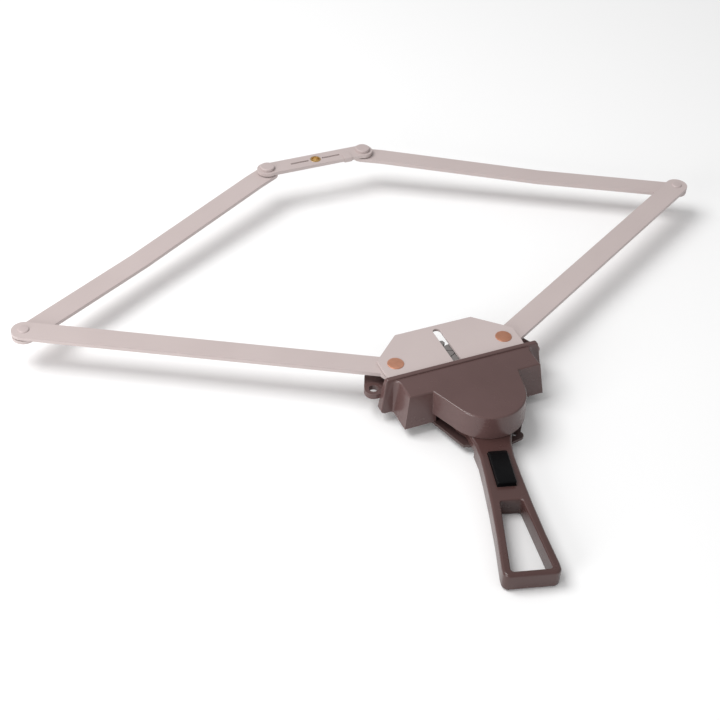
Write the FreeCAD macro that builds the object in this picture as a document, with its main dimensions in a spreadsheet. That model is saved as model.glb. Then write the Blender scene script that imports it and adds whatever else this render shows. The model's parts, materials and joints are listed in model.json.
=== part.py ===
"""Lever-driven dual-arm window operator, in millimetres.

Frame: the origin is midway between the two mounting holes, on the underside of the ears that
sit on the sill. +X runs along the flange, +Y points out of the room towards the sash, +Z up.
Two equal drive arms swing on fixed pivots, geared to each other; two equal link arms join
their elbows to the sash bracket, so the linkage is a parallelogram on each side and the
bracket keeps parallel to the flange. The lever turns a pinion, an idler and the gear segment
under the left drive arm.
"""
import FreeCAD, Part
import math
import os
from types import SimpleNamespace

import Sketcher

V = FreeCAD.Vector
UP = V(0, 0, 1)

# ---------------------------------------------------------------- driving dimensions
DRIVING = {
    # linkage
    "pivot_half": 46.0, "pivot_y": 8.2, "arm_len": 286.0, "arm_w": 19.0,
    "arm_thick": 3.0, "arm_angle": 29.0, "hub_rad": 14.0, "pin_rad": 4.0, "pivot_pin_rad": 5.0,
    "pin_gap": 0.05, "open_pin_gap": 0.3,
    # levels, measured from the underside of the ears
    "tongue_thick": 3.5, "plate_thick": 2.5, "arm_z": 10.0, "link_z": 6.1, "link_rise": 6.2,
    "rise_start": 125.0, "rise_end": 268.0, "gear_z": 6.5, "gear_thick": 2.7, "cover_z": 13.5,
    # cover and backing plates
    "plate_rear_y": 39.2, "plate_rear_half": 32.7, "plate_side_half": 58.0,
    "plate_side_y": 16.0, "plate_front_half": 57.0, "slot_w": 6.4, "slot_rear_y": 35.0,
    "slot_front_y": -4.0, "notch_half": 14.0, "notch_y": 14.0,
    # housing casting, whose middle is a little to the right of the ears' and the linkage's
    "case_x": 2.2, "flange_y": -7.0, "flange_thick": 2.8, "flange_half": 64.2, "flange_flare": 4.6,
    "flange_top": 18.7, "case_top": 17.3, "skirt_z": -10.5, "shoulder_half": 54.6,
    "shoulder_y": -31.2, "boss_half": 35.6, "boss_rad": 30.0, "boss_z": -2.5, "wall": 2.8,
    "skirt_draft": 8.0, "boss_draft": 3.0, "cove_rad": 6.0, "ear_half": 67.2, "ear_rad": 7.0,
    "ear_thick": 4.5, "ear_rear_y": 17.0, "ear_hole_rad": 3.6, "post_x": 42.0, "post_y": -24.0,
    "post_rad": 4.5, "screw_rad": 2.0, "plate_screw_x": 30.0, "plate_screw_y": -3.0,
    # lever
    "hub_x": 4.2, "hub_y": -44.0, "lever_swing": -15.0, "lever_hub_rad": 26.0,
    "lever_top": -3.0, "lever_bottom": -18.0, "lever_hub_bottom": -10.1, "lever_len": 160.5,
    "lever_end_half": 20.2, "lever_neck_half": 12.7, "relief_rad": 38.0, "shaft_rad": 6.0,
    "window_start": 92.0, "window_end": 156.0, "window_start_half": 8.0,
    "window_end_half": 14.6,
    # base plate under the lever
    "base_z": -12.9, "base_thick": 2.4, "lock_rad": 28.0, "lock_step": 15.0,
    # release button and lock pawl
    "button_start": 45.0, "button_end": 79.0, "button_half": 7.0, "button_top": 0.9,
    "pawl_pin_rad": 1.25, "pawl_arm": 16.0, "pawl_half": 2.2, "pawl_pin_z": -9.0,
    "spring_seat": 10.0,
    # sash bracket
    "bracket_w": 16.5, "bracket_end_rad": 9.0, "eye_rad": 3.2, "groove_start": 6.5,
    "groove_end": 23.5, "groove_w": 1.8,
}
GEAR_MODULE = 1.5
PINION_TEETH, IDLER_TEETH, SEGMENT_TEETH, FAN_TEETH = 20, 31, 48, 22
PRESSURE = math.radians(25)
LOCK_HOLES = 6
FLANGE_OVERLAP, EAR_SLANT, SCREW_DEPTH, TAIL_RAD, LUG_RAD = 0.3, 25, 6.5, 6.4, 4.0
ELBOW_HEAD, BRACKET_HEAD, CLIP_SKIN, CLIP_WIDTH = 1.0, 2.7, 0.7, 7.5
D = SimpleNamespace(**DRIVING)


def polar(radius, degrees, centre=(0.0, 0.0)):
    """The point at a radius and an angle round a centre."""
    turn = math.radians(degrees)
    return centre[0] + radius * math.cos(turn), centre[1] + radius * math.sin(turn)


def bearing(start, end):
    """The direction from one point to another, in degrees."""
    return math.degrees(math.atan2(end[1] - start[1], end[0] - start[0]))


# ---------------------------------------------------------------- worked-out dimensions
LEFT_PIVOT = (-D.pivot_half, D.pivot_y)
LEVER_PIVOT = (D.hub_x, D.hub_y)
PINION_RAD, IDLER_RAD, SEGMENT_RAD = (
    GEAR_MODULE * teeth / 2 for teeth in (PINION_TEETH, IDLER_TEETH, SEGMENT_TEETH))


def idler_centre():
    """Where the idler meshes with both the segment and the pinion, on the rear side."""
    base = math.dist(LEFT_PIVOT, LEVER_PIVOT)
    near, far = SEGMENT_RAD + IDLER_RAD, PINION_RAD + IDLER_RAD
    corner = math.degrees(math.acos((near**2 + base**2 - far**2) / (2 * near * base)))
    return polar(near, bearing(LEFT_PIVOT, LEVER_PIVOT) + corner, LEFT_PIVOT)


def boss_tangent(side):
    """Where a slanting side of the boss meets its round front; side is +1 on the right."""
    corner = (D.case_x + side * D.boss_half, D.shoulder_y)
    reach = math.dist(LEVER_PIVOT, corner)
    spread = math.degrees(math.acos(D.boss_rad / reach))
    return polar(D.boss_rad, bearing(LEVER_PIVOT, corner) - side * spread, LEVER_PIVOT)


IDLER = idler_centre()
RIGHT_TANGENT, LEFT_TANGENT = boss_tangent(1), boss_tangent(-1)
DERIVED = {
    "idler_x": IDLER[0], "idler_y": IDLER[1],
    "right_tangent_x": RIGHT_TANGENT[0], "right_tangent_y": RIGHT_TANGENT[1],
    "left_tangent_x": LEFT_TANGENT[0], "left_tangent_y": LEFT_TANGENT[1],
    "elbow_x": polar(D.arm_len, D.arm_angle)[0] + D.pivot_half,
    "elbow_y": polar(D.arm_len, D.arm_angle)[1] + D.pivot_y,
    "bracket_y": 2 * polar(D.arm_len, D.arm_angle)[1] + D.pivot_y,
}
SEGMENT_MESH = bearing(LEFT_PIVOT, IDLER)


# ---------------------------------------------------------------- sheet and bound sizes
class Size:
    """A number together with the sheet expression that gives it."""

    def __init__(self, value, text):
        self.value = value
        self.text = text

    def join(self, other, sign, value):
        return Size(value, f"({self.text} {sign} {as_size(other).text})")

    def __add__(self, other):
        return self.join(other, "+", self.value + as_size(other).value)

    def __sub__(self, other):
        return self.join(other, "-", self.value - as_size(other).value)

    def __mul__(self, other):
        return self.join(other, "*", self.value * as_size(other).value)

    def __truediv__(self, other):
        return self.join(other, "/", self.value / as_size(other).value)

    def __neg__(self):
        return Size(-self.value, f"(0 - {self.text})")


def as_size(number):
    """Wraps a plain number, and leaves a bound size as it is."""
    if isinstance(number, Size):
        return number
    return Size(float(number), f"({float(number):.6f})")


doc = FreeCAD.newDocument("window_operator")
sheet = doc.addObject("Spreadsheet::Sheet", "Sizes")
for row, (alias, number) in enumerate({**DRIVING, **DERIVED}.items(), start=1):
    sheet.set(f"A{row}", alias)
    sheet.set(f"B{row}", str(round(number, 6)))
    sheet.setAlias(f"B{row}", alias)
doc.recompute()
s = SimpleNamespace(**{alias: Size(round(number, 6), f"Sizes.{alias}")
                       for alias, number in {**DRIVING, **DERIVED}.items()})
ZERO = as_size(0)
NODES = {}
BRACKET_Z = s.link_z + s.link_rise + s.arm_thick + 0.9


def beside(half, side):
    """The x at a half width from the middle of the casting, to the right for side +1."""
    return s.case_x + half * side


def bind(item, prop, size):
    """Ties a property of an object to the sheet."""
    item.setExpression(prop, as_size(size).text)


def place(item, at=(0, 0, 0), turn=0):
    """Puts an object at a point, turned about +Z by an angle in degrees."""
    item.Placement = FreeCAD.Placement(V(*(as_size(c).value for c in at)),
                                       FreeCAD.Rotation(UP, as_size(turn).value))
    for axis, value in zip("xyz", at):
        bind(item, f".Placement.Base.{axis}", value)
    if as_size(turn).value:
        bind(item, ".Placement.Rotation.Angle", turn)
    return item


def node(item, name):
    """Names a finished sub-part and adds it to the list that is written out."""
    item.Label = name
    NODES[name] = item
    return item


def cylinder(radius, height, at=(0, 0, 0)):
    item = doc.addObject("Part::Cylinder", "cylinder")
    bind(item, "Radius", radius)
    bind(item, "Height", height)
    return place(item, at)


def cone(low, high, height, at=(0, 0, 0)):
    item = doc.addObject("Part::Cone", "cone")
    bind(item, "Radius1", low)
    bind(item, "Radius2", high)
    bind(item, "Height", height)
    return place(item, at)


def box(low, high):
    """A box between two corners."""
    item = doc.addObject("Part::Box", "box")
    for prop, a, b in zip(("Length", "Width", "Height"), low, high):
        bind(item, prop, as_size(b) - a)
    return place(item, low)


def fuse(*items):
    joined = doc.addObject("Part::MultiFuse", "joined")
    joined.Shapes = list(items)
    joined.Refine = True
    return joined


def cut(base, *tools):
    """The base with every tool taken out of it."""
    result = doc.addObject("Part::Cut", "trimmed")
    result.Base = base
    result.Tool = tools[0] if len(tools) == 1 else fuse(*tools)
    return result


def ring(outer, inner, height, at=(0, 0, 0)):
    return cut(cylinder(outer, height, at), cylinder(inner, height, at))


def outline_pad(corners, low, height, plane="XY_Plane", arcs=None, rounds=(), round_rad=1):
    """A pad of an outline whose corners are tied to the sheet, from level low upwards.

    arcs gives the centre and the radius of the sides that are round, by their number: side i
    runs from corner i to the next one. The corners whose numbers are in rounds are rounded.
    """
    body = doc.addObject("PartDesign::Body", "outline")
    sketch = body.newObject("Sketcher::SketchObject", "profile")
    origin = next(f for f in body.Origin.OriginFeatures if f.Role == plane)
    sketch.AttachmentSupport = [(origin, "")]
    sketch.MapMode = "FlatFace"
    bind(sketch, ".AttachmentOffset.Base.z", low)
    sizes = [(as_size(x), as_size(y)) for x, y in corners]
    points = [V(x.value, y.value, 0) for x, y in sizes]
    starts = []
    for i, (start, end) in enumerate(zip(points, points[1:] + points[:1])):
        starts.append(1)
        if i in (arcs or {}):
            centre = V(*(as_size(c).value for c in arcs[i][0]), 0)
            radius = as_size(arcs[i][1]).value
            middle = centre + ((start + end) / 2 - centre).normalize() * radius
            curve = Part.Arc(start, middle, end)
            sketch.addGeometry(curve, False)
            if sketch.getPoint(i, 1).distanceToPoint(start) > 1e-6:
                starts[-1] = 2
        else:
            sketch.addGeometry(Part.LineSegment(start, end), False)
    for i, spot in enumerate(starts):
        after = (i + 1) % len(starts)
        sketch.addConstraint(Sketcher.Constraint("Coincident", i, 3 - spot, after, starts[after]))
    for i, pair in enumerate(sizes):
        for kind, size in zip(("DistanceX", "DistanceY"), pair):
            spot = sketch.addConstraint(
                Sketcher.Constraint(kind, -1, 1, i, starts[i], size.value))
            bind(sketch, f"Constraints[{spot}]", size)
    for i, (_, radius) in (arcs or {}).items():
        spot = sketch.addConstraint(Sketcher.Constraint("Radius", i, as_size(radius).value))
        bind(sketch, f"Constraints[{spot}]", radius)
    pad = body.newObject("PartDesign::Pad", "pad")
    pad.Profile = sketch
    bind(pad, "Length", height)
    doc.recompute()
    if rounds:
        upright = [f"Edge{k}" for k, edge in enumerate(pad.Shape.Edges, start=1)
                   if joins_corner(edge, [points[i] for i in rounds], plane)]
        fillet = body.newObject("PartDesign::Fillet", "corners")
        fillet.Base = (pad, upright)
        bind(fillet, "Radius", round_rad)
    return body


def drafted_pad(corners, low, height, angle, arcs=None):
    """A pad whose walls lean outwards below its top face, apart from its rearmost wall."""
    body = outline_pad(corners, low, height, arcs=arcs)
    pad = body.Tip
    shape = pad.Shape
    top = shape.BoundBox.ZMax
    rear = shape.BoundBox.YMax
    walls, lid = [], []
    for k, face in enumerate(shape.Faces, start=1):
        if face.BoundBox.ZMin > top - 0.01:
            lid.append(f"Face{k}")
        elif face.BoundBox.ZLength > 0.01 and face.BoundBox.YMin < rear - 0.01:
            walls.append(f"Face{k}")
    draft = body.newObject("PartDesign::Draft", "draft")
    draft.Base = (pad, walls)
    draft.NeutralPlane = (pad, lid)
    bind(draft, "Angle", angle)
    return body


def joins_corner(edge, corners, plane):
    """True for an edge that runs through the pad at one of the given corners."""
    ends = [vertex.Point for vertex in edge.Vertexes]
    if len(ends) < 2:
        return False
    axes = ("x", "z") if plane == "XZ_Plane" else ("x", "y")
    flat = [tuple(getattr(end, axis) for axis in axes) for end in ends]
    return math.dist(*flat) < 0.01 and any(
        math.dist(flat[0], (corner.x, corner.y)) < 0.01 for corner in corners)


def mirrored(right_side, middle=ZERO):
    """Closes an outline from its right half, listed from the rear to the front."""
    left_side = [(middle - x, y) for x, y in reversed(right_side)]
    return [(middle + x, y) for x, y in right_side] + left_side


def rounded(item, radius, choose):
    """The item with every edge that choose accepts rounded."""
    doc.recompute()
    picked = [k for k, edge in enumerate(item.Shape.Edges, start=1) if choose(edge)]
    fillet = doc.addObject("Part::Fillet", "rounded")
    fillet.Base = item
    fillet.Edges = [(k, radius, radius) for k in picked]
    return fillet


def level(edge, z):
    """True for an edge that lies flat at height z."""
    return abs(edge.BoundBox.ZMin - z) < 0.01 and abs(edge.BoundBox.ZMax - z) < 0.01


# ---------------------------------------------------------------- gear teeth
def involute(angle):
    return math.tan(angle) - angle


def tooth(module, teeth, centre_angle, backlash, flank_points=5):
    """One side, tip and other side of a tooth, as a list of points from root to root."""
    pitch = module * teeth / 2
    base = pitch * math.cos(PRESSURE)
    root, tip = pitch - module, pitch + 0.8 * module
    half = math.pi / (2 * teeth) - backlash / (2 * pitch) + involute(PRESSURE)
    start = max(base, root) + 0.001
    flank = []
    for i in range(flank_points):
        radius = start + (tip - start) * i / (flank_points - 1)
        turn = half - involute(math.acos(base / radius))
        flank.append((radius, math.degrees(turn)))
    if root < start:
        flank.insert(0, (root, flank[0][1]))
    rising = [polar(radius, centre_angle - turn) for radius, turn in flank]
    falling = [polar(radius, centre_angle + turn) for radius, turn in reversed(flank)]
    return rising + falling


def toothed_solid(module, teeth, tooth_angles, thick, backlash=0.25, closed=True):
    """A full gear, or a fan that runs from the centre out to its toothed edge."""
    points = []
    for angle in tooth_angles:
        points += tooth(module, teeth, angle, backlash)
    if not closed:
        margin = 360 / teeth * 0.31
        root = module * teeth / 2 - module
        points.insert(0, polar(root, tooth_angles[0] - margin))
        points.append(polar(root, tooth_angles[-1] + margin))
        points.append((0.0, 0.0))
    ring_points = [V(x, y, 0) for x, y in points + points[:1]]
    face = Part.Face(Part.makePolygon(ring_points))
    return face.extrude(V(0, 0, thick))


def toothed(name, *args, **kwargs):
    """A document object that holds a toothed solid."""
    item = doc.addObject("Part::Feature", name)
    item.Shape = toothed_solid(*args, **kwargs)
    return item


# ---------------------------------------------------------------- linkage
def drive_arm(hand, tooth_steps):
    """A drive arm along its own +X from its pivot, with the fan of coarse teeth behind it.

    hand is +1 for the right arm and -1 for the left arm, whose fan is on the other side.
    """
    fan_module = 2 * D.pivot_half / FAN_TEETH
    facing = hand * (180 - D.arm_angle)
    angles = sorted(facing - hand * step * 360 / FAN_TEETH for step in tooth_steps)
    fan = toothed("fan", fan_module, FAN_TEETH, angles, D.arm_thick, 0.5, closed=False)
    bar = box((0, -s.arm_w / 2, 0), (s.arm_len, s.arm_w / 2, s.arm_thick))
    hub = cylinder(s.hub_rad, s.arm_thick)
    tip = cylinder(s.arm_w / 2, s.arm_thick, (s.arm_len, 0, 0))
    return fuse(bar, hub, tip, fan)


def pivot_bores(top, low=ZERO):
    """The holes for the fixed pivot and for the elbow rivet, in an arm's own frame."""
    return [cylinder(s.pivot_pin_rad + s.pin_gap, top, (0, 0, low)),
            cylinder(s.pin_rad, top, (s.arm_len, 0, low))]


def segment_rivet_spots(turn=0.0):
    """Where the gear segment is riveted to the left drive arm, round the arm's pivot."""
    return [polar(25.0, SEGMENT_MESH + offset - turn) for offset in (9.3, -10.7)]


def linkage():
    left_turn = 180 - s.arm_angle.value
    left_angle = as_size(180) - s.arm_angle
    rivets = [cylinder(2.5, s.arm_thick, (*spot, 0)) for spot in segment_rivet_spots(left_turn)]
    left = cut(drive_arm(-1, (-2, -1, 0, 1)), *pivot_bores(s.arm_thick), *rivets)
    node(place(left, (-s.pivot_half, s.pivot_y, s.arm_z), left_angle), "left_drive_arm")
    right = cut(drive_arm(1, (-1.5, -0.5, 0.5)), *pivot_bores(s.arm_thick))
    node(place(right, (s.pivot_half, s.pivot_y, s.arm_z), s.arm_angle),
         "right_drive_arm")

    segment_pitch = 360 / SEGMENT_TEETH
    angles = [SEGMENT_MESH + step * segment_pitch for step in range(-4, 4)]
    fan = toothed("segment", GEAR_MODULE, SEGMENT_TEETH, angles, D.arm_z - D.gear_z, closed=False)
    thick = s.arm_z - s.gear_z
    holes = [cylinder(2.5, thick, (*spot, 0)) for spot in segment_rivet_spots()]
    segment = cut(fuse(fan, cylinder(11, thick)), *holes,
                  cylinder(s.pivot_pin_rad + s.pin_gap, thick))
    at = (-s.pivot_half, s.pivot_y, s.gear_z)
    node(place(segment, at), "gear_segment")
    studs = [cylinder(2.5, s.arm_z + s.arm_thick - s.gear_z, (*spot, 0))
             for spot in segment_rivet_spots()]
    node(place(fuse(*studs), at), "segment_rivets")

    for side, name in ((-1, "left"), (1, "right")):
        link_arm(side, name)
        elbow_rivet(side, name)
        bracket_rivet(side, name)
    sash_bracket()


def link_arm(side, name):
    """An upper arm from its elbow up to the bracket; the right one has the loose eye."""
    gap = s.open_pin_gap if side > 0 else s.pin_gap
    tall = s.link_rise + s.arm_thick
    bar = box((0, -s.arm_w / 2, 0), (s.arm_len, s.arm_w / 2, tall))
    ends = [cylinder(s.arm_w / 2, tall, (x, 0, 0)) for x in (ZERO, s.arm_len)]
    start, stop, rise, thick = s.rise_start, s.rise_end, s.link_rise, s.arm_thick
    low, high = -s.arm_w, s.arm_len + s.arm_w
    profile = outline_pad([(low, 0), (start, 0), (stop, rise), (high, rise), (high, tall),
                           (stop, tall), (start, thick), (low, thick)],
                          -s.arm_w, s.arm_w * 2, plane="XZ_Plane")
    bent = doc.addObject("Part::MultiCommon", "bent")
    bent.Shapes = [fuse(bar, *ends), profile]
    eyes = [cylinder(s.pin_rad + s.pin_gap, tall),
            cylinder(s.pin_rad + gap, tall, (s.arm_len, 0, 0))]
    turn = s.arm_angle if side < 0 else as_size(180) - s.arm_angle
    node(place(cut(bent, *eyes), (s.elbow_x * side, s.elbow_y, s.link_z), turn),
         f"{name}_link_arm")


def washer(name, outer, inner, height, at):
    return node(ring(outer, inner, height, at), name)


def elbow_rivet(side, name):
    """A low domed rivet that joins a drive arm to the link arm under it."""
    at = (s.elbow_x * side, s.elbow_y)
    top = s.arm_z + s.arm_thick
    shank = cylinder(s.pin_rad, top + 0.5 - s.link_z + 0.1, (*at, s.link_z - 0.1))
    tail = cylinder(5.5, 1.3, (*at, s.link_z - 1.4))
    head = cone(4.6, 3.8, ELBOW_HEAD, (*at, top))
    rivet = fuse(shank, tail, head)
    node(rounded(rivet, 0.5, lambda edge: level(edge, D.arm_z + D.arm_thick + ELBOW_HEAD)),
         f"{name}_elbow_rivet")
    low = s.link_z + s.arm_thick
    washer(f"{name}_elbow_washer", 8.0, s.pin_rad, s.arm_z - low - 0.1, (*at, low + 0.1))


def bracket_rivet(side, name):
    """A tall flat-topped rivet through the bracket and the link arm under it."""
    at = (s.pivot_half * side, s.bracket_y)
    low = s.link_z + s.link_rise
    top = BRACKET_Z + s.arm_thick
    shank = cylinder(s.pin_rad, top + 1 - low + 0.1, (*at, low - 0.1))
    tail = cylinder(5.5, 1.3, (*at, low - 1.4))
    head = cylinder(6.3, BRACKET_HEAD, (*at, top))
    rivet = fuse(shank, tail, head)
    node(rounded(rivet, 0.8, lambda edge: level(edge, top.value + BRACKET_HEAD)),
         f"{name}_bracket_rivet")
    seat = low + s.arm_thick + 0.1
    washer(f"{name}_bracket_washer", 8.0, s.pin_rad, BRACKET_Z - seat, (*at, seat))


def sash_bracket():
    """The strip between the link arms, its brass eye and its spring clip."""
    y, z = s.bracket_y, BRACKET_Z
    half = s.bracket_w / 2
    bar = box((-s.pivot_half, y - half, z), (s.pivot_half, y + half, z + s.arm_thick))
    ends = [cylinder(s.bracket_end_rad, s.arm_thick, (s.pivot_half * side, y, z))
            for side in (-1, 1)]
    holes = [cylinder(s.pin_rad, s.arm_thick, (s.pivot_half * side, y, z))
             for side in (-1, 1)]
    holes.append(cylinder(s.eye_rad + 0.8, s.arm_thick, (0, y, z)))
    slit = s.groove_w / 2
    for low, high in ((-s.groove_end, -s.groove_start), (s.groove_start, s.groove_end)):
        holes.append(box((low, y - slit, z), (high, y + slit, z + s.arm_thick)))
    node(cut(fuse(bar, *ends), *holes), "sash_bracket")

    barrel = ring(s.eye_rad + 0.8, s.eye_rad, s.arm_thick + 1.8, (0, y, z - 1.5))
    collar = ring(s.eye_rad + 1.5, s.eye_rad, 0.3, (0, y, z + s.arm_thick))
    node(fuse(barrel, collar), "bracket_bushing")

    near, far = s.groove_end + 1.5, s.groove_end + 1.5 + CLIP_WIDTH
    top, front = z + s.arm_thick, y - half
    lip = y - half / 2
    node(fuse(box((near, front - CLIP_SKIN, top), (far, y, top + CLIP_SKIN)),
              box((near, front - CLIP_SKIN, z - CLIP_SKIN), (far, front, top + CLIP_SKIN)),
              box((near, front - CLIP_SKIN, z - CLIP_SKIN), (far, lip, z))), "bracket_clip")


# ---------------------------------------------------------------- plates, rivets and gears
def gear_plates():
    rear = [(s.plate_rear_half, s.plate_rear_y), (s.plate_side_half, s.plate_side_y)]
    front_y = s.flange_y + 0.1
    corners = mirrored(rear + [(s.plate_side_half, 2.0), (s.plate_front_half, front_y)])
    plate = outline_pad(corners, s.cover_z, s.plate_thick)
    pivots = [cylinder(s.pivot_pin_rad, s.plate_thick,
                       (s.pivot_half * side, s.pivot_y, s.cover_z)) for side in (-1, 1)]
    node(cut(plate, *pivots, slot_cutter()), "gear_cover_plate")

    notch = [(s.notch_half, s.notch_y), (s.notch_half, s.plate_rear_y)]
    nose = [(48.0, 2.0), (48.0, s.shoulder_y + 3.5), (23.0, s.shoulder_y + 3.5), (21.0, s.hub_y),
            (14.0, s.hub_y - 15)]
    backing = outline_pad(mirrored(notch + rear + nose), s.tongue_thick, s.plate_thick)
    low = s.tongue_thick
    holes = [cylinder(s.pivot_pin_rad, s.plate_thick, (s.pivot_half * side, s.pivot_y, low))
             for side in (-1, 1)]
    holes += [cylinder(s.screw_rad + 0.2, s.plate_thick, (beside(s.post_x, side), s.post_y, low))
              for side in (-1, 1)]
    holes += [cylinder(s.screw_rad, s.plate_thick, (s.plate_screw_x * side, s.plate_screw_y, low))
              for side in (-1, 1)]
    holes.append(cylinder(8.0, s.plate_thick, (s.hub_x, s.hub_y, low)))
    holes.append(cylinder(3.0, s.plate_thick, (s.idler_x, s.idler_y, low)))
    node(cut(backing, *holes), "gear_backing_plate")

    inset = 4.0
    spacers = [cylinder(3.0, s.cover_z - low - s.plate_thick,
                        ((s.plate_rear_half - inset) * side, s.plate_rear_y - inset,
                         low + s.plate_thick)) for side in (-1, 1)]
    node(fuse(*spacers), "rear_spacers")


def slot_cutter():
    """The fore-and-aft slot in the cover plate, round at its rear end."""
    half, low = s.slot_w / 2, s.cover_z
    straight = box((-half, s.slot_front_y, low), (half, s.slot_rear_y - half, low + s.plate_thick))
    return fuse(straight, cylinder(half, s.plate_thick, (0, s.slot_rear_y - half, low)))


def pivot_rivets():
    """The two wide copper rivets and the washers that carry the drive arms."""
    floor = s.tongue_thick + s.plate_thick
    for side, name in ((-1, "left"), (1, "right")):
        at = (s.pivot_half * side, s.pivot_y)
        top = s.cover_z + s.plate_thick
        shank = cylinder(s.pivot_pin_rad, top - s.tongue_thick + 1, (*at, s.tongue_thick - 1))
        head = cylinder(TAIL_RAD, 0.5, (*at, top))
        tail = cylinder(TAIL_RAD, 1.0, (*at, s.tongue_thick - 1))
        rivet = fuse(shank, head, tail)
        node(rounded(rivet, 0.3, lambda edge: level(edge, D.cover_z + D.plate_thick + 0.5)),
             f"{name}_pivot_rivet")
        washer(f"{name}_upper_washer", 9.0, s.pivot_pin_rad, s.cover_z - s.arm_z - s.arm_thick - 0.1,
               (*at, s.arm_z + s.arm_thick + 0.1))
        above = s.gear_z if side < 0 else s.arm_z
        washer(f"{name}_lower_washer", 9.0, s.pivot_pin_rad, above - floor - 0.1, (*at, floor))


def gear_train():
    """The idler, its pin and the pinion, each turned so that its teeth are in mesh."""
    idler_pitch, pinion_pitch = 360 / IDLER_TEETH, 360 / PINION_TEETH
    first = SEGMENT_MESH + 180 + idler_pitch / 2
    angles = [first + step * idler_pitch for step in range(IDLER_TEETH)]
    idler = toothed("idler", GEAR_MODULE, IDLER_TEETH, angles, D.gear_thick)
    lighten = [cylinder(3.2, s.gear_thick, (*polar(13.5, first + 60 * step), 0))
               for step in range(6)]
    node(place(cut(idler, cylinder(3.05, s.gear_thick), *lighten),
               (s.idler_x, s.idler_y, s.gear_z)), "idler_gear")
    pin = fuse(cylinder(3.0, s.gear_z + s.gear_thick - s.tongue_thick + 0.4,
                        (s.idler_x, s.idler_y, s.tongue_thick)),
               cylinder(4.6, 0.35, (s.idler_x, s.idler_y, s.gear_z - 0.45)))
    node(pin, "idler_pin")

    mesh = bearing(IDLER, LEVER_PIVOT)
    offset = (first - mesh + idler_pitch / 2) % idler_pitch - idler_pitch / 2
    gap = mesh + 180 - offset * IDLER_TEETH / PINION_TEETH
    angles = [gap + pinion_pitch * (step + 0.5) for step in range(PINION_TEETH)]
    pinion = toothed("pinion", GEAR_MODULE, PINION_TEETH, angles, D.gear_thick)
    node(place(cut(pinion, cylinder(s.shaft_rad, s.gear_thick)), (s.hub_x, s.hub_y, s.gear_z)),
         "drive_pinion")


# ---------------------------------------------------------------- housing and base
def housing():
    """The casting: flange, drafted skirt, round boss, rear tongue and ears, hollow inside."""
    front = s.flange_y - s.flange_thick
    cove = s.cove_rad
    height = s.case_top - s.skirt_z
    cove_x = s.shoulder_half + cove
    half_outline = [(cove_x + 1, s.flange_y), (cove_x + 1, front), (cove_x, front),
                    (s.shoulder_half, front - cove), (s.shoulder_half, s.shoulder_y)]
    coves = {2: ((beside(cove_x, 1), front - cove), cove),
             6: ((beside(cove_x, -1), front - cove), cove)}
    outline = mirrored(half_outline, s.case_x)
    skirt = drafted_pad(outline, s.skirt_z, height, s.skirt_draft, coves)
    boss = boss_block(ZERO, s.boss_z, s.case_top - s.boss_z)
    case = rounded(fuse(skirt, boss), 1.5, is_case_rim)

    wall = s.wall
    roof = s.case_top - wall
    half = s.shoulder_half - wall
    hollow = drafted_pad(
        mirrored([(half, s.flange_y + 1), (half, s.shoulder_y + wall)], s.case_x),
        s.skirt_z - 1, roof - s.skirt_z + 1, s.skirt_draft)
    round_hollow = boss_block(wall, s.boss_z - 1, roof - s.boss_z + 1)
    mouth = s.boss_half - wall
    gate = box((beside(mouth, -1), s.shoulder_y - 8, s.skirt_z - 1),
               (beside(mouth, 1), s.shoulder_y + 5, s.boss_z))
    shell = cut(fuse(case, flange()), hollow, round_hollow, gate)

    screen = outline_pad(mirrored([(half + 4, 0.0), (half + 4, s.skirt_z)], s.case_x),
                         -s.flange_y, s.flange_thick, plane="XZ_Plane")
    inner = s.ear_half - s.ear_rad
    pads = [screen, box((-inner, s.flange_y - 0.5, 0), (inner, 0, s.tongue_thick)), *ears()]
    holes = []
    seat = s.tongue_thick + s.plate_thick
    for side in (-1, 1):
        post = (beside(s.post_x, side), s.post_y, seat)
        pads.append(cylinder(s.post_rad, roof - seat + 1, post))
        holes.append(cylinder(s.ear_hole_rad, s.ear_thick, (s.ear_half * side, 0, 0)))
        holes.append(cylinder(s.screw_rad, SCREW_DEPTH, post))
        holes.append(flat_screw_body((s.plate_screw_x * side, s.plate_screw_y)))
    node(cut(fuse(shell, *pads), *holes), "operator_housing")


def ears():
    """The two lugs: round at the front, slanting to a narrower rear, joined to the tongue."""
    slant = polar(D.ear_rad, EAR_SLANT)
    root = s.pivot_half + TAIL_RAD + 0.8
    widest = s.flange_half + s.flange_flare
    inner = s.ear_half - s.ear_rad - 1
    shapes = []
    for side in (-1, 1):
        middle = s.ear_half * side
        shapes.append(cylinder(s.ear_rad, s.ear_thick, (middle, 0, 0)))
        shapes.append(outline_pad(
            [(root * side, -1), (middle + slant[0] * side, slant[1]),
             (middle, s.ear_rear_y), (root * side, s.ear_rear_y)], ZERO, s.tongue_thick))
        ends = sorted((inner * side, beside(widest, side)), key=lambda size: size.value)
        shapes.append(box((ends[0], s.flange_y, 0), (ends[1], 0, s.ear_thick)))
    return shapes


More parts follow.
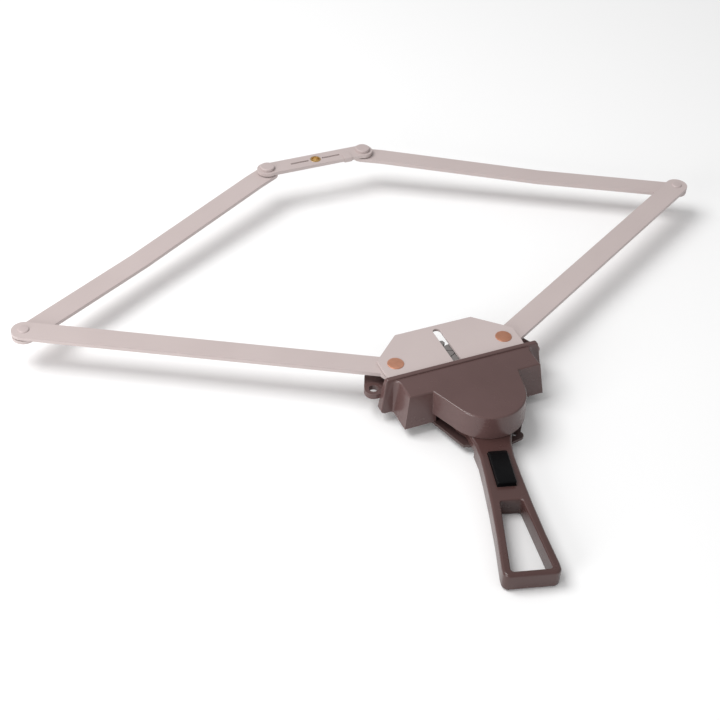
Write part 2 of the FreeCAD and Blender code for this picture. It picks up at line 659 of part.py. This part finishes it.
def flange():
    """The upright flange: a flared outline whose front face leans like the skirt's walls."""
    lean = math.tan(math.radians(D.skirt_draft))
    front = s.flange_y - s.flange_thick - FLANGE_OVERLAP
    foot_front = front - (s.flange_top - s.skirt_z) * lean
    outline = mirrored([(s.flange_half, s.flange_top), (s.flange_half + s.flange_flare, s.skirt_z)],
                       s.case_x)
    slab = outline_pad(outline, -s.flange_y, s.flange_y - foot_front, plane="XZ_Plane",
                       rounds=(0, 1, 2, 3), round_rad=3.0)
    above = (front + lean, s.flange_top + 1)
    below = (foot_front - lean, s.skirt_z - 1)
    beyond = foot_front - 1
    reach = s.flange_half + s.flange_flare + 1
    corners = [above, below, (beyond, s.skirt_z - 1), (beyond, s.flange_top + 1)]
    shaving = outline_pad(corners, beside(reach, -1), reach * 2, plane="YZ_Plane")
    return rounded(cut(slab, shaving), 0.9, is_flange_lip)


def boss_block(inset, low, height):
    """The boss with its slanting sides and round front, drawn in all round by an inset."""
    half = s.boss_half - inset
    radius = s.boss_rad - inset
    shrink = radius / s.boss_rad
    right, left = [
        (s.hub_x + (x - s.hub_x) * shrink, s.hub_y + (y - s.hub_y) * shrink)
        for x, y in ((s.right_tangent_x, s.right_tangent_y), (s.left_tangent_x, s.left_tangent_y))]
    near, far = beside(half, -1), beside(half, 1)
    corners = [(far, s.shoulder_y + 6), (far, s.shoulder_y), right,
               left, (near, s.shoulder_y), (near, s.shoulder_y + 6)]
    return drafted_pad(corners, low, height, s.boss_draft, {2: (LEVER_PIVOT, radius)})


def is_case_rim(edge):
    """The top edges of the case, apart from those inside the flange."""
    return level(edge, D.case_top) and edge.BoundBox.YMin < D.flange_y - D.flange_thick - 0.1


def is_flange_lip(edge):
    """The outline of the flange on its front face, apart from its foot."""
    lean = math.tan(math.radians(D.skirt_draft))
    foremost = D.flange_y - D.flange_thick - FLANGE_OVERLAP
    on_front = all(abs(end.Y - foremost + (D.flange_top - end.Z) * lean) < 0.01
                   for end in edge.Vertexes)
    return on_front and edge.BoundBox.ZMax > D.skirt_z + 0.01


def base_plate():
    """The plate under the lever's hub, with round front lugs and the lock holes."""
    rear, shoulder = s.flange_y - 4, s.shoulder_y + 4
    right = [(50.0, rear), (50.0, shoulder), (30.6, shoulder), (30.6, s.hub_y + 6),
             (29.5, s.hub_y - 10), (19.5, s.hub_y - 24), (16.5, s.hub_y - 30)]
    left = [(0.0, s.hub_y - 32.5), (-13.0, s.hub_y - 30), (-20.5, s.hub_y - 23.5),
            (-26.9, s.hub_y - 21.3), (-39.0, shoulder), (-50.0, shoulder), (-50.0, rear)]
    corners = [(s.hub_x + x, y) for x, y in right + left]
    plate = outline_pad(corners, s.base_z, s.base_thick)
    lugs = [cylinder(LUG_RAD, s.base_thick, (s.hub_x + x, s.hub_y + y, s.base_z))
            for x, y in ((-21.0, -19.5), (16.5, -26.0))]
    holes = [cylinder(8.0, s.base_thick, (s.hub_x, s.hub_y, s.base_z))]
    holes += [cylinder(s.screw_rad + 0.2, s.base_thick, (beside(s.post_x, side), s.post_y, s.base_z))
              for side in (-1, 1)]
    for step in range(LOCK_HOLES):
        swing = D.lever_swing + D.lock_step * (step - 2)
        spot = polar(D.lock_rad, swing - 90, LEVER_PIVOT)
        holes.append(cylinder(2.0, s.base_thick, (*spot, s.base_z)))
    node(cut(fuse(plate, *lugs), *holes), "base_plate")

    top = s.base_z + s.base_thick
    sleeves = [ring(s.post_rad, s.screw_rad + 0.2, s.tongue_thick - top,
                    (beside(s.post_x, side), s.post_y, top)) for side in (-1, 1)]
    node(fuse(*sleeves), "base_spacers")
    length = s.tongue_thick + s.plate_thick - s.base_z + SCREW_DEPTH
    screws = [pan_screw((beside(s.post_x, side), s.post_y), s.base_z, length)
              for side in (-1, 1)]
    node(fuse(*screws), "housing_screws")
    short = [cut(flat_screw_body((s.plate_screw_x * side, s.plate_screw_y)),
                 *cross_recess((s.plate_screw_x * side, s.plate_screw_y), ZERO))
             for side in (-1, 1)]
    node(fuse(*short), "plate_screws")


def pan_screw(at, seat, length):
    """A screw that stands head down under a seat, with a cross recess in its head."""
    shank = cylinder(s.screw_rad, length, (*at, seat))
    head = cone(3.0, 3.8, 1.8, (*at, seat - 1.8))
    return cut(fuse(shank, head), *cross_recess(at, seat - 1.8))


def flat_screw_body(at):
    """A countersunk screw that holds the backing plate down on the tongue, head below."""
    return fuse(cylinder(s.screw_rad, s.tongue_thick + s.plate_thick, (*at, 0)),
                cone(3.6, s.screw_rad, 1.6, (*at, 0)))


def cross_recess(at, foot):
    """The two bars of a cross recess, sunk into a head from below."""
    x, y = as_size(at[0]), as_size(at[1])
    return [box((x - a, y - b, foot), (x + a, y + b, foot + 1)) for a, b in ((2, 0.4), (0.4, 2))]


# ---------------------------------------------------------------- lever
def lever_place(item):
    """Lever pieces are drawn pointing along -Y from their pivot, then swung into place."""
    item.Placement = FreeCAD.Placement(V(*LEVER_PIVOT, 0), FreeCAD.Rotation(UP, D.lever_swing))
    bind(item, ".Placement.Base.x", s.hub_x)
    bind(item, ".Placement.Base.y", s.hub_y)
    return item


def lever():
    thick = s.lever_top - s.lever_bottom
    neck, end = s.lever_neck_half, s.lever_end_half
    side = [(neck + 4.5, -20.0), (neck + 1.0, -36.0), (neck, -48.0), (neck + 0.6, -66.0),
            (neck + 2.2, -95.0), (neck + 4.6, -125.0), (end, -152.0), (end, -s.lever_len)]
    grip = outline_pad(mirrored(side), s.lever_bottom, thick, rounds=(7, 8), round_rad=5.0)
    grip = rounded(grip, 2.2, is_grip_edge)
    relief = cylinder(s.relief_rad, s.lever_hub_bottom - s.lever_bottom, (0, 0, s.lever_bottom))
    hub = cylinder(s.lever_hub_rad, s.lever_top - s.lever_hub_bottom, (0, 0, s.lever_hub_bottom))
    hub = rounded(hub, 0.8, lambda edge: level(edge, D.lever_top) and edge.Length > 10)

    start, stop = s.window_start, s.window_end
    window = outline_pad(
        [(s.window_start_half, -start), (s.window_end_half, -stop),
         (-s.window_end_half, -stop), (-s.window_start_half, -start)],
        s.lever_bottom, thick, rounds=(0, 1, 2, 3), round_rad=2.5)
    pocket_half = s.button_half + 0.3
    pocket = box((-pocket_half, -s.button_end - 0.3, s.lever_top - 3.2),
                 (pocket_half, -s.button_start + 0.3, s.lever_top + 1))
    groove = box((-s.pawl_half - 0.4, -s.lock_rad - 35, s.lever_bottom),
                 (s.pawl_half + 0.4, -s.lock_rad + 3.0, s.lever_top - 1.0))
    spring_seat = cylinder(3.6, s.spring_seat, (0, -s.button_end + 6, s.lever_top - s.spring_seat))
    pin_hole = cross_pin(D.pawl_pin_rad, 9.0)
    bore = cylinder(s.shaft_rad, thick, (0, 0, s.lever_bottom))
    blank = cut(fuse(cut(grip, relief), hub), window, pocket, groove, spring_seat, pin_hole, bore)
    node(lever_place(rounded(blank, 1.2, is_window_edge)), "lever_handle")


def is_grip_edge(edge):
    """The long edges round the lever's grip, top and bottom, past its neck."""
    run = edge.BoundBox
    return (level(edge, D.lever_top) or level(edge, D.lever_bottom)) and run.YMin < -20.5


def is_window_edge(edge):
    """The top and bottom rims of the finger window."""
    run = edge.BoundBox
    inside = run.YMax < -D.window_start + 0.1 and run.YMin > -D.window_end - 0.1
    narrow = max(abs(run.XMin), abs(run.XMax)) < D.window_end_half + 0.1
    return inside and narrow and (level(edge, D.lever_top) or level(edge, D.lever_bottom))


def cross_pin(radius, half_length):
    """A pin along X through the lever at the pawl's pivot."""
    pin = cylinder(radius, 2 * half_length,
                   (-half_length, -s.lock_rad - s.pawl_arm, s.pawl_pin_z))
    pin.Placement = FreeCAD.Placement(pin.Placement.Base, FreeCAD.Rotation(V(0, 1, 0), 90))
    return pin


def button_and_lock():
    """The release button, its spring, and the rocking pawl that it tips."""
    foot = s.lever_top - 1.0
    top = s.button_top
    long_side = [(s.button_half, -s.button_start), (s.button_half, -s.button_end)]
    body = outline_pad(mirrored(long_side), foot, top - foot, rounds=(0, 1, 2, 3), round_rad=1.5)
    body = rounded(body, 1.0, lambda edge: level(edge, D.button_top))
    stem_y = -s.lock_rad - s.pawl_arm * 2
    bar_low = s.lever_hub_bottom + 0.3
    bar_top = bar_low + 2.2
    stem = box((-s.pawl_half, stem_y - 1.5, bar_top + 0.4),
               (s.pawl_half, stem_y + 1.5, foot))
    wedge = outline_pad([(-s.button_start, top + 1), (-s.button_start - 7, top + 1),
                         (-s.button_start, top - 2.2)], -s.button_half - 1,
                        s.button_half * 2 + 2, plane="YZ_Plane")
    node(lever_place(cut(fuse(body, stem), wedge)), "release_button")

    bar = box((-s.pawl_half, -s.lock_rad - s.pawl_arm * 2 - 2, bar_low),
              (s.pawl_half, -s.lock_rad + 2.0, bar_top))
    nose = cylinder(1.6, 1.0, (0, -s.lock_rad, s.lever_hub_bottom))
    eye = cross_pin(2.4, D.pawl_half)
    hole = cross_pin(D.pawl_pin_rad + D.pin_gap, 5.0)
    node(lever_place(cut(fuse(bar, nose, eye), hole)), "lock_pawl")
    node(lever_place(grouped(cross_pin(D.pawl_pin_rad, 9.0))), "pawl_pin")

    foot, head = s.lever_top - s.spring_seat + 0.5, s.lever_top - 1.5
    spring = doc.addObject("Part::Feature", "coil")
    spring.Shape = coil_spring(2.6, 0.4, 1.7, (head - foot).value)
    place(spring, (0, -s.button_end + 6, foot))
    node(lever_place(grouped(spring)), "button_spring")


def grouped(*items):
    """The items as one object, which can be placed again as a whole."""
    group = doc.addObject("Part::Compound", "group")
    group.Links = list(items)
    return group


def coil_spring(radius, wire, pitch, height):
    """A compression spring, standing on the XY plane; its wire is drawn eight-sided."""
    path = Part.makeHelix(pitch, height, radius)
    flats = [polar(wire, 45 * step, (radius, 0)) for step in range(9)]
    section = Part.makePolygon([V(x, 0, z) for x, z in flats])
    return Part.Wire(path.Edges).makePipeShell([section], True, True)


def clip_gap(low):
    """The mouth of a retaining clip, open towards the front."""
    return box((s.hub_x - 2, s.hub_y - 12, low), (s.hub_x + 2, s.hub_y - 3, low + 2))


def lever_shaft():
    """The shaft that joins the lever to the pinion, with its bushes, washers and clips."""
    at = (s.hub_x, s.hub_y)
    top = s.gear_z + s.gear_thick + 2.0
    low = s.base_z - 2.6
    shaft = cylinder(s.shaft_rad, top - low, (*at, low))
    grooves = [ring(s.shaft_rad + 1, s.shaft_rad - 0.8, 1.0, (*at, z))
               for z in (s.base_z - 1.4, s.gear_z + s.gear_thick + 0.2)]
    node(cut(shaft, *grooves), "pivot_shaft")
    node(cut(ring(9.0, s.shaft_rad - 0.8, 1.0, (*at, s.base_z - 1.4)),
             clip_gap(s.base_z - 2)),
         "lower_retaining_clip")
    node(cut(ring(8.5, s.shaft_rad - 0.8, 1.0, (*at, s.gear_z + s.gear_thick + 0.2)),
             clip_gap(s.gear_z + s.gear_thick)),
         "upper_retaining_clip")
    node(ring(8.0, s.shaft_rad + s.pin_gap, s.base_thick, (*at, s.base_z)), "lower_bushing")
    node(ring(8.0, s.shaft_rad + s.pin_gap, s.plate_thick, (*at, s.tongue_thick)),
         "upper_bushing")
    node(ring(13.0, s.shaft_rad + 0.3, 0.3, (*at, s.base_z + s.base_thick)), "thrust_washer")
    node(ring(9.5, s.shaft_rad, s.tongue_thick - s.lever_top - 0.3, (*at, s.lever_top)),
         "shaft_collar")


def check_and_write():
    doc.recompute()
    for item in doc.Objects:
        if "Invalid" in item.State or "Error" in item.State:
            raise RuntimeError(f"{item.Label} failed to build: {item.State}")
    for name, item in NODES.items():
        shape = item.Shape
        if shape.isNull() or not shape.isValid():
            raise RuntimeError(f"{name} has no valid shape")
    os.makedirs("parts", exist_ok=True)
    for name, item in NODES.items():
        item.Shape.exportStep(f"parts/{name}.step")
        print(f"{name:24s} solids {len(item.Shape.Solids)} volume {item.Shape.Volume:10.1f}")


housing()
base_plate()
gear_plates()
pivot_rivets()
gear_train()
linkage()
lever()
lever_shaft()
button_and_lock()
check_and_write()
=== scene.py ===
"""The looks of a lever-driven dual-arm window operator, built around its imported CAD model.

Every CAD node is shown by a finished copy of its own mesh: welded, with its sharp edges broken
by a small bevel and its round faces shaded smooth. The materials are all procedural.
"""

import json
import math

import bmesh
import bpy
from mathutils import Matrix, Vector


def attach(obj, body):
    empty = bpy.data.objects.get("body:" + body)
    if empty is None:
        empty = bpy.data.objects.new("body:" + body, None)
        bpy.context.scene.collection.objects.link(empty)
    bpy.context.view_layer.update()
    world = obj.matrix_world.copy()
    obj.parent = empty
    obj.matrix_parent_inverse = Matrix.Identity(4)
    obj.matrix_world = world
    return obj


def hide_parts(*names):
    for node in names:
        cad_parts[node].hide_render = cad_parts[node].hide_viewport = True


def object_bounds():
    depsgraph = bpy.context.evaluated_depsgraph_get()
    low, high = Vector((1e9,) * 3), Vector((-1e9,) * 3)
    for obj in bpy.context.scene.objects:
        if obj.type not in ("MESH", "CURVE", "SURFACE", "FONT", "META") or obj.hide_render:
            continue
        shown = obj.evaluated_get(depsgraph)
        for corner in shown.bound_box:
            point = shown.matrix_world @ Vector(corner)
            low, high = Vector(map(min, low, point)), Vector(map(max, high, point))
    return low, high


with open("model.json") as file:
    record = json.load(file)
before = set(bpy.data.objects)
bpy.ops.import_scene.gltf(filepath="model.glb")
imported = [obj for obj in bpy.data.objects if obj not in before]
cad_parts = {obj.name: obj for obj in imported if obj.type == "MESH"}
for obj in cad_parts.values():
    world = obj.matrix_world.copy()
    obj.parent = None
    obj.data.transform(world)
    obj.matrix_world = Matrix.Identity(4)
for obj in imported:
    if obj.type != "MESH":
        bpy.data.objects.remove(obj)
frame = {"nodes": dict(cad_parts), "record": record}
cad_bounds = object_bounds()

MM = 0.001
NODES = frame["nodes"]
BODY_OF = {node: body for body, names in frame["record"]["behaviour"]["bodies"].items()
           for node in names}
SLOT_OF = {entry["node"]: entry["material_slot"] for entry in frame["record"]["subparts"]}


# ---------------------------------------------------------------- camera
CAMERA_AT = Vector((-0.4126, -0.69974, 0.70649))
AZIMUTH, ELEVATION, ROLL = (math.radians(a) for a in (-25.56, 40.83, 3.43))
FOCAL_LENGTH, SENSOR = 69.87, 36.0
SHIFT = (-0.0032, -0.0004)
FARTHEST_SEEN = 20


def add_camera():
    """A camera above the room side of the object, tipped a little to one side."""
    back = Vector((math.sin(AZIMUTH) * math.cos(ELEVATION),
                   -math.cos(AZIMUTH) * math.cos(ELEVATION), math.sin(ELEVATION)))
    level_right = (-back).cross(Vector((0, 0, 1))).normalized()
    level_up = back.cross(level_right)
    right = level_right * math.cos(ROLL) + level_up * math.sin(ROLL)
    up = level_up * math.cos(ROLL) - level_right * math.sin(ROLL)
    data = bpy.data.cameras.new("camera")
    data.lens, data.sensor_width = FOCAL_LENGTH, SENSOR
    data.shift_x, data.shift_y = SHIFT
    data.clip_end = FARTHEST_SEEN
    camera = bpy.data.objects.new("camera", data)
    turn = Matrix((right, up, back)).transposed().to_4x4()
    camera.matrix_world = Matrix.Translation(CAMERA_AT) @ turn
    bpy.context.scene.collection.objects.link(camera)
    bpy.context.scene.camera = camera


# ---------------------------------------------------------------- studio
FLOOR_REACH, FLOOR_GAP = 6.0, 0.4 * MM
WORLD_STRENGTH = 0.5
# Each lamp: where it stands, the spot that it points at, its side and its power in watts.
LAMPS = {"key": ((-1.0, 0.5, 1.8), (0.0, 0.05, 0.0), 1.2, 30),
         "left": ((-1.5, -0.7, 0.45), (0.0, -0.05, 0.0), 0.7, 12)}


def add_light(name, at, aim, size, power):
    """A soft square lamp that points at a spot."""
    data = bpy.data.lights.new(name, "AREA")
    data.shape = "SQUARE"
    data.size = size
    data.energy = power
    lamp = bpy.data.objects.new(name, data)
    direction = Vector(aim) - Vector(at)
    lamp.matrix_world = (Matrix.Translation(at)
                         @ direction.to_track_quat("-Z", "Y").to_matrix().to_4x4())
    bpy.context.scene.collection.objects.link(lamp)


def add_studio():
    """A pale floor just under the object, an even white surrounding and the lamps."""
    level = cad_bounds[0][2] - FLOOR_GAP
    reach = FLOOR_REACH
    corners = [(-reach, -reach), (reach, -reach), (reach, reach), (-reach, reach)]
    floor_mesh = bpy.data.meshes.new("floor")
    floor_mesh.from_pydata([(x, y, level) for x, y in corners], [], [(0, 1, 2, 3)])
    floor = bpy.data.objects.new("floor", floor_mesh)
    floor_mesh.materials.append(floor_material())
    bpy.context.scene.collection.objects.link(floor)

    world = bpy.data.worlds.new("studio")
    bpy.context.scene.world = world
    world.use_nodes = True
    background = world.node_tree.nodes["Background"]
    background.inputs["Color"].default_value = (1.0, 1.0, 1.0, 1.0)
    background.inputs["Strength"].default_value = WORLD_STRENGTH
    for name, lamp in LAMPS.items():
        add_light(name, *lamp)
    bpy.context.scene.view_settings.view_transform = "Standard"


# ---------------------------------------------------------------- material helpers
NOISE_ROUGHNESS = 0.55
EDGE_RADIUS = 0.6 * MM


class Shader:
    """A node material with one Principled shader and short ways to add to it."""

    def __init__(self, name, **constants):
        self.material = bpy.data.materials.new(name)
        self.material.use_nodes = True
        self.tree = self.material.node_tree
        self.shader = self.tree.nodes["Principled BSDF"]
        for socket, value in constants.items():
            self.shader.inputs[socket.replace("_", " ")].default_value = value
        self.place = self.add("ShaderNodeTexCoord").outputs["Object"]

    def add(self, kind, **settings):
        node = self.tree.nodes.new(kind)
        for key, value in settings.items():
            setattr(node, key, value)
        return node

    def link(self, source, target):
        self.tree.links.new(source, target)

    def noise(self, scale, detail):
        """Noise over the object's own space, scale in features per metre."""
        node = self.add("ShaderNodeTexNoise")
        node.inputs["Scale"].default_value = scale
        node.inputs["Detail"].default_value = detail
        node.inputs["Roughness"].default_value = NOISE_ROUGHNESS
        self.link(self.place, node.inputs["Vector"])
        return node.outputs["Fac"]

    def ramp(self, source, *stops):
        """A grey or coloured ramp with (position, value) stops."""
        node = self.add("ShaderNodeValToRGB")
        band = node.color_ramp
        while len(band.elements) < len(stops):
            band.elements.new(0.5)
        for element, (position, value) in zip(band.elements, stops):
            element.position = position
            element.color = (*value, 1) if isinstance(value, tuple) else (value,) * 3 + (1,)
        self.link(source, node.inputs["Fac"])
        return node.outputs["Color"]

    def mix(self, factor, first, second):
        """A colour between two colours, each a colour or an output."""
        node = self.add("ShaderNodeMix", data_type="RGBA")
        for socket, value in ((node.inputs[0], factor), (node.inputs[6], first),
                              (node.inputs[7], second)):
            if isinstance(value, bpy.types.NodeSocket):
                self.link(value, socket)
            else:
                socket.default_value = (*value, 1) if isinstance(value, tuple) else value
        return node.outputs[2]

    def edges(self, low, high):
        """White along edges, where a painted highlight goes, and black elsewhere."""
        bevel = self.add("ShaderNodeBevel", samples=6)
        bevel.inputs["Radius"].default_value = EDGE_RADIUS
        geometry = self.add("ShaderNodeNewGeometry")
        dot = self.add("ShaderNodeVectorMath", operation="DOT_PRODUCT")
        self.link(bevel.outputs["Normal"], dot.inputs[0])
        self.link(geometry.outputs["Normal"], dot.inputs[1])
        return self.ramp(dot.outputs["Value"], (low, 1.0), (high, 0.0))

    def near_middle(self, half_width):
        """White within a half width of the plane x = 0 and black beyond it."""
        parts = self.add("ShaderNodeSeparateXYZ")
        self.link(self.place, parts.inputs["Vector"])
        offset = self.add("ShaderNodeMath", operation="ABSOLUTE")
        self.link(parts.outputs["X"], offset.inputs[0])
        return self.ramp(offset.outputs["Value"], (half_width - MM, 1.0), (half_width, 0.0))

    def bump(self, source, strength, distance):
        node = self.add("ShaderNodeBump")
        node.inputs["Strength"].default_value = strength
        node.inputs["Distance"].default_value = distance
        self.link(source, node.inputs["Height"])
        self.link(node.outputs["Normal"], self.shader.inputs["Normal"])

    def colour(self, source):
        self.link(source, self.shader.inputs["Base Color"])

    def roughness(self, source):
        self.link(source, self.shader.inputs["Roughness"])


def floor_material():
    shader = Shader("floor", Base_Color=(0.95, 0.95, 0.95, 1), Roughness=0.9,
                    Specular_IOR_Level=0.1)
    return shader.material


def enamel(name, base, shade, speck_and_highlight, rough, grain, bare=None):
    """Baked enamel: slow tone shifts, fine orange peel, small specks and a painted highlight
    along the edges.

    bare gives a colour and a half width: the metal shows through in that colour near the
    object's middle plane, where the toothed ends of the drive arms run.
    """
    shader = Shader(name)
    drift = shader.ramp(shader.noise(18, 3), (0.3, 0.0), (0.7, 1.0))
    tone = shader.mix(drift, base, shade)
    specks = shader.ramp(shader.noise(900, 2), (0.70, 0.0), (0.78, 0.35))
    tone = shader.mix(specks, tone, speck_and_highlight)
    # Painted highlight: the edges are mixed towards the lighter speck tone, standing in for
    # light caught along them.
    edge_highlight = shader.ramp(shader.edges(0.90, 0.99), (0.0, 0.0), (1.0, 0.6))
    tone = shader.mix(edge_highlight, tone, speck_and_highlight)
    if bare:
        metal, half_width = bare
        tone = shader.mix(shader.near_middle(half_width), tone, metal)
    shader.colour(tone)
    low, high = rough
    shader.roughness(shader.ramp(shader.noise(60, 5), (0.3, low), (0.7, high)))
    shader.bump(shader.noise(grain, 3), 0.12, 0.0002)
    return shader.material


def plated_metal(name, base, shade, rough):
    """Bare or plated metal with dull patches and a fine grain."""
    shader = Shader(name, Metallic=1.0)
    patches = shader.ramp(shader.noise(90, 5), (0.35, 0.0), (0.65, 1.0))
    shader.colour(shader.mix(patches, base, shade))
    low, high = rough
    shader.roughness(shader.ramp(shader.noise(700, 3), (0.3, low), (0.7, high)))
    shader.bump(shader.noise(1500, 2), 0.1, 0.0001)
    return shader.material


def moulded_plastic(name, base, shade, rough, **constants):
    """Moulded plastic with a fine matt grain."""
    shader = Shader(name, **constants)
    patches = shader.ramp(shader.noise(60, 3), (0.35, 0.0), (0.65, 1.0))
    shader.colour(shader.mix(patches, base, shade))
    low, high = rough
    shader.roughness(shader.ramp(shader.noise(250, 3), (0.3, low), (0.7, high)))
    shader.bump(shader.noise(2600, 2), 0.2, 0.0001)
    return shader.material


MATERIALS = {
    "arm_paint": enamel("arm_paint", (0.525, 0.446, 0.433), (0.50, 0.422, 0.410),
                        (0.37, 0.31, 0.30), (0.38, 0.52), 1400),
    "toothed_arm": enamel("toothed_arm", (0.525, 0.446, 0.433), (0.50, 0.422, 0.410),
                          (0.37, 0.31, 0.30), (0.38, 0.52), 1400,
                          bare=((0.20, 0.185, 0.18), 22 * MM)),
    "painted_rivet": enamel("painted_rivet", (0.51, 0.43, 0.42), (0.47, 0.39, 0.38),
                            (0.34, 0.29, 0.28), (0.34, 0.48), 1400),
    "case_paint": enamel("case_paint", (0.112, 0.062, 0.059), (0.094, 0.051, 0.048),
                         (0.21, 0.14, 0.13), (0.20, 0.30), 900),
    # The housing paint made darker for the lever: painted shade.
    "lever_painted_shade": enamel("lever_painted_shade", (0.078, 0.038, 0.035), (0.064, 0.031, 0.028),
                          (0.17, 0.11, 0.10), (0.20, 0.30), 900),
    # The base plate wears the housing paint; this darker tone is painted shade for the plate
    # under the boss and handle.
    "base_zinc": enamel("base_zinc", (0.068, 0.038, 0.036), (0.052, 0.028, 0.026),
                        (0.14, 0.10, 0.09), (0.30, 0.42), 1200),
    "plated_steel": plated_metal("plated_steel", (0.46, 0.45, 0.42), (0.36, 0.35, 0.33),
                                 (0.32, 0.5)),
    "gear_steel": plated_metal("gear_steel", (0.24, 0.23, 0.22), (0.17, 0.16, 0.155),
                               (0.28, 0.45)),
    "spring_steel": plated_metal("spring_steel", (0.25, 0.25, 0.26), (0.18, 0.18, 0.19),
                                 (0.3, 0.45)),
    "copper_rivet": plated_metal("copper_rivet", (0.72, 0.37, 0.25), (0.60, 0.29, 0.19),
                                 (0.38, 0.58)),
    "bushing_brass": plated_metal("bushing_brass", (0.70, 0.46, 0.18), (0.55, 0.34, 0.12),
                                  (0.25, 0.4)),
    "bearing_plastic": moulded_plastic("bearing_plastic", (0.75, 0.74, 0.70),
                                       (0.68, 0.67, 0.63), (0.4, 0.55)),
    "button_plastic": moulded_plastic("button_plastic", (0.0025, 0.0025, 0.003),
                                      (0.004, 0.004, 0.0045), (0.28, 0.40),
                                      Specular_IOR_Level=0.08),
}

# Pieces that look a little different from the rest of their material slot: the drive arms show
# bare metal at their toothed ends, and the lever wears the housing paint darkened as painted
# shade.
LOOK_OF = {"left_drive_arm": "toothed_arm", "right_drive_arm": "toothed_arm",
           "lever_handle": "lever_painted_shade"}

# ---------------------------------------------------------------- finished pieces
SHARP_ANGLE = math.radians(28)
FLAT_ANGLE = math.radians(0.3)
WELD_REACH = 0.002 * MM
# How wide the broken edges are, in millimetres: of most pieces, and of some material slots.
FINE_BREAK = 0.12
EDGE_BREAK = {"arm_paint": 0.35, "case_paint": 0.4, "button_plastic": 0.3}


def finished(node):
    """A welded, bevelled and smoothly shaded copy of a CAD node that stands for it."""
    mesh = NODES[node].data.copy()
    mesh.name = node + "_finished"
    mesh.materials.clear()
    work = bmesh.new()
    work.from_mesh(mesh)
    bmesh.ops.remove_doubles(work, verts=work.verts, dist=WELD_REACH)
    bmesh.ops.dissolve_limit(work, angle_limit=FLAT_ANGLE, verts=work.verts,
                             edges=work.edges)
    for face in work.faces:
        face.smooth = True
    for edge in work.edges:
        edge.smooth = not (edge.is_manifold and edge.calc_face_angle(0) > SHARP_ANGLE)
    work.to_mesh(mesh)
    work.free()
    mesh.materials.append(MATERIALS[LOOK_OF.get(node, SLOT_OF[node])])
    piece = bpy.data.objects.new(node + "_finished", mesh)
    bpy.context.scene.collection.objects.link(piece)
    bevel = piece.modifiers.new("edge_break", "BEVEL")
    bevel.width = EDGE_BREAK.get(SLOT_OF[node], FINE_BREAK) * MM
    bevel.segments = 2
    bevel.limit_method = "ANGLE"
    bevel.angle_limit = SHARP_ANGLE
    bevel.harden_normals = True
    bevel.use_clamp_overlap = True
    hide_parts(node)
    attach(piece, BODY_OF[node])


add_camera()
add_studio()
for node in NODES:
    finished(node)
